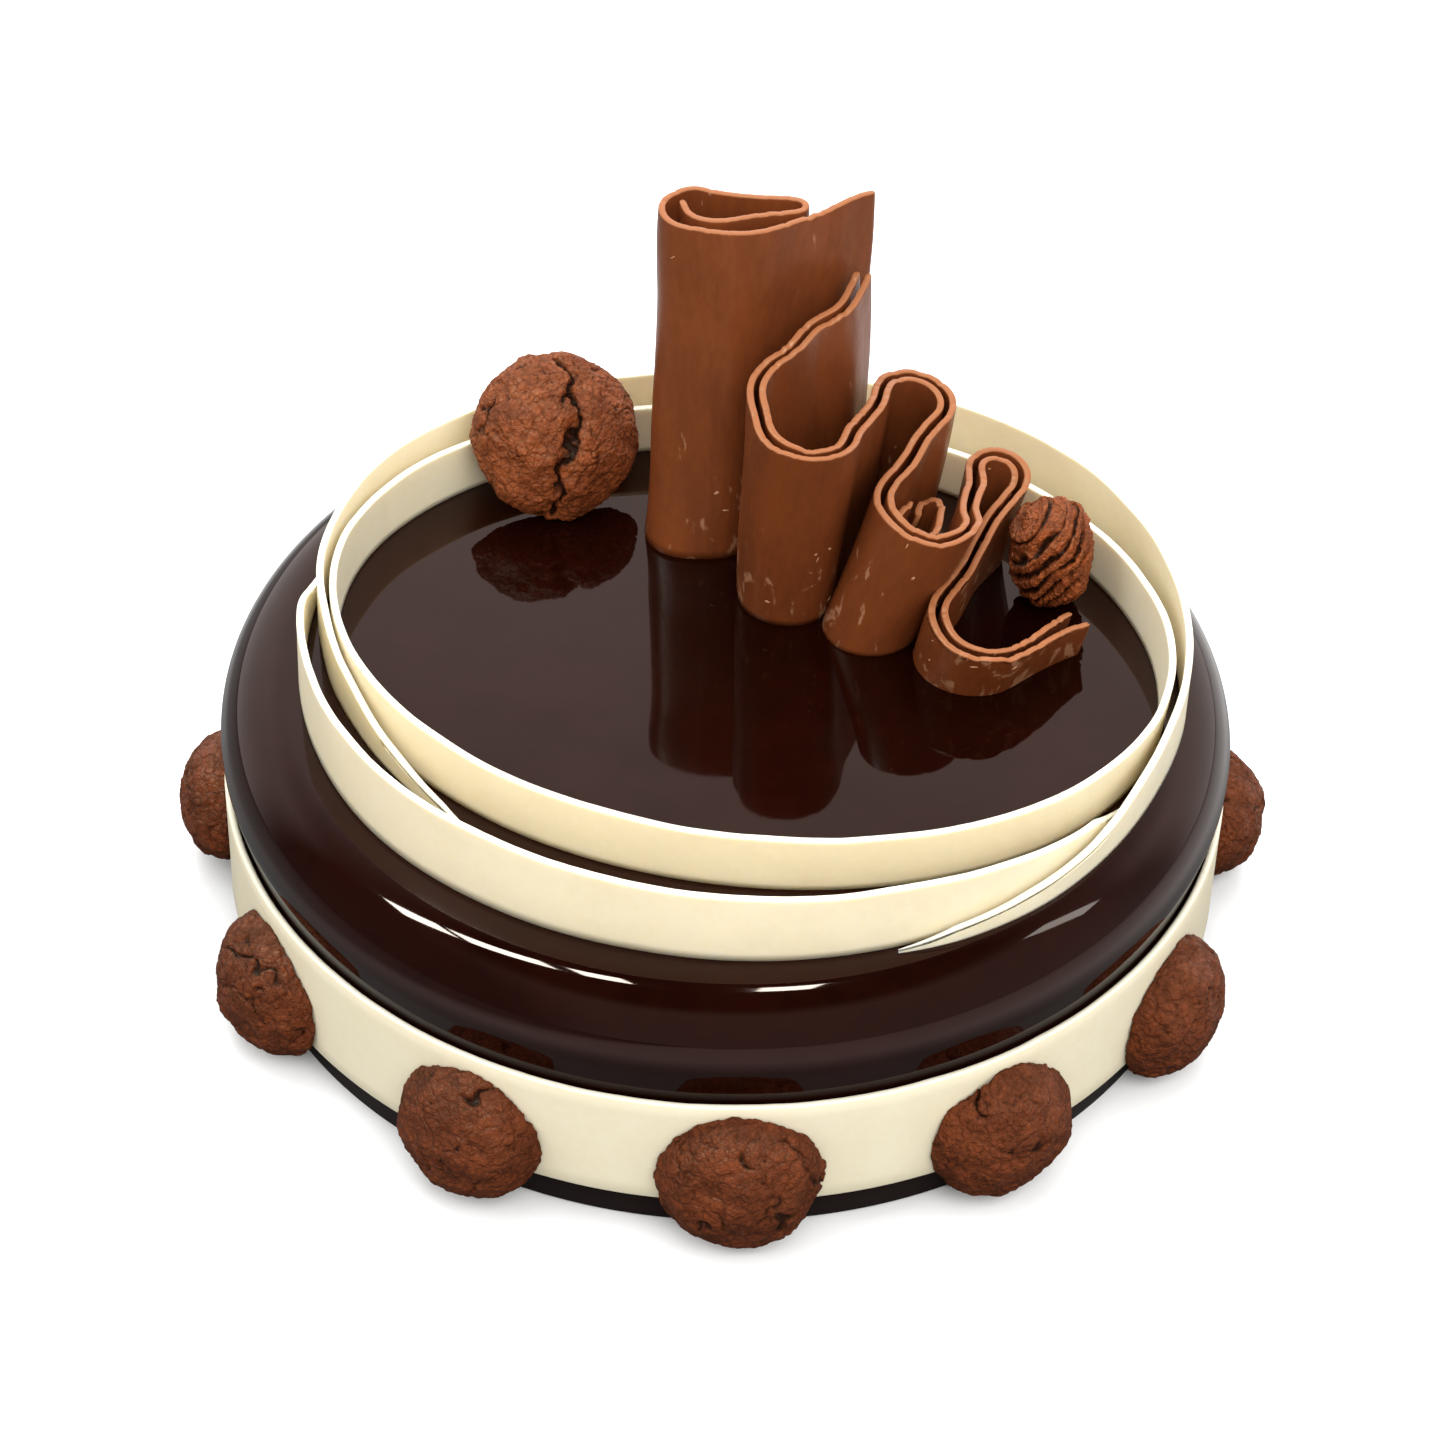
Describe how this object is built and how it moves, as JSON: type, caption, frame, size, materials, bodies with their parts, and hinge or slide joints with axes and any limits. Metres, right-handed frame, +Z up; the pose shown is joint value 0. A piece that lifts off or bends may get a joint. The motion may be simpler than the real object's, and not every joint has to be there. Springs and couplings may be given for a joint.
{
  "type": "sachertorte cake",
  "caption": "round dark-glazed chocolate cake ringed by domed biscuits, with white chocolate hoops and a folded milk chocolate ruffle on top",
  "frame": {"origin": "centre of the flat base that the cake rests on", "axes": "+Z up, -Y towards the front where the folds of the ruffle open, +X to the right seen from the front"},
  "size_m": [0.2222, 0.2226, 0.1263],
  "materials": {
    "dark_glaze": "mirror-glossy dark chocolate glaze",
    "white_chocolate": "satin ivory white chocolate",
    "milk_chocolate": "satin milk chocolate with paler cut edges",
    "biscuit": "rough cracked cocoa biscuit",
    "golden_biscuit": "rough ridged biscuit"
  },
  "bodies": {
    "root": {"glazed_cake": "dark_glaze", "side_band": "white_chocolate", "side_biscuit_01": "biscuit", "side_biscuit_02": "biscuit", "side_biscuit_03": "biscuit", "side_biscuit_04": "biscuit", "side_biscuit_05": "biscuit", "side_biscuit_06": "biscuit", "side_biscuit_07": "biscuit", "side_biscuit_08": "biscuit", "side_biscuit_09": "biscuit", "side_biscuit_10": "biscuit", "side_biscuit_11": "biscuit", "side_biscuit_12": "biscuit", "top_biscuit": "biscuit", "ridged_biscuit": "golden_biscuit", "inner_hoop": "white_chocolate", "outer_hoop_front": "white_chocolate", "outer_hoop_back": "white_chocolate", "ruffle_scroll": "milk_chocolate", "ruffle_sheet_outer": "milk_chocolate", "ruffle_sheet_inner": "milk_chocolate", "ruffle_curl": "milk_chocolate"}
  },
  "joints": []
}
